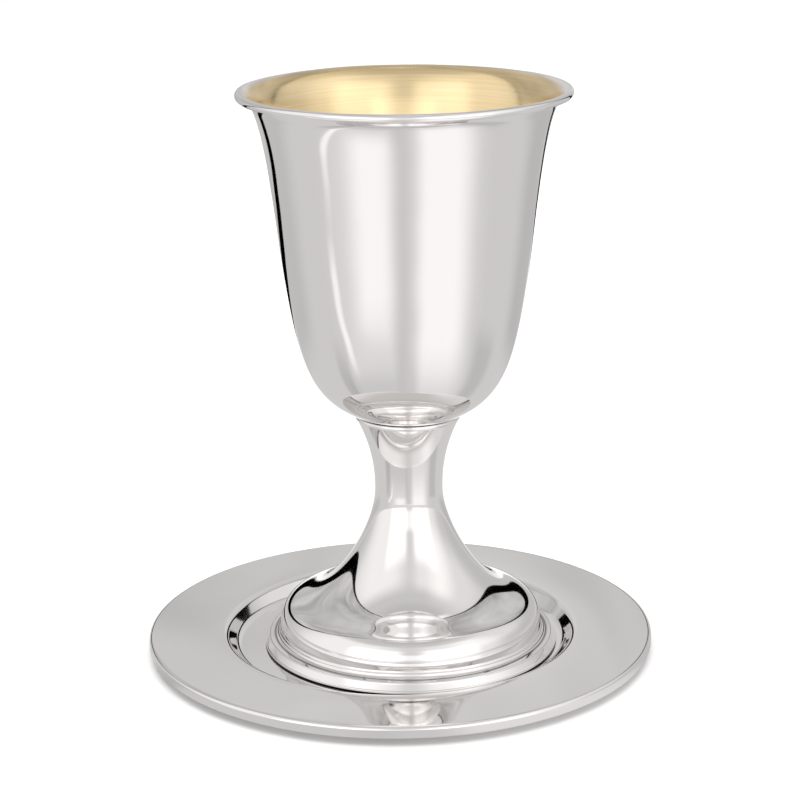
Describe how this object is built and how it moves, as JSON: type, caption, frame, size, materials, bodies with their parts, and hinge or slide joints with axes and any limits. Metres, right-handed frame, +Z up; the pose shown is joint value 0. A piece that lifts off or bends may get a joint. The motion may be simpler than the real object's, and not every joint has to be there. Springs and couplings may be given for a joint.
{
  "type": "kiddush cup",
  "caption": "Footed silver wine goblet with a flared, rolled rim and a gilded bowl, standing in the well of a matching plain round saucer.",
  "frame": {"origin": "on the surface that the saucer stands on, under the middle of the saucer", "axes": "+Z up, along the cup; +X to the side that the cup stands off centre in the well; +Y away from the viewer"},
  "size_m": [0.12, 0.12, 0.134],
  "materials": {
    "polished_silver": "highly polished sterling silver",
    "silver_gilt_inside": "highly polished sterling silver outside, pale gold plating inside the bowl"
  },
  "bodies": {
    "root": {"bowl": "silver_gilt_inside", "stem_and_foot": "polished_silver", "saucer": "polished_silver"}
  },
  "joints": []
}
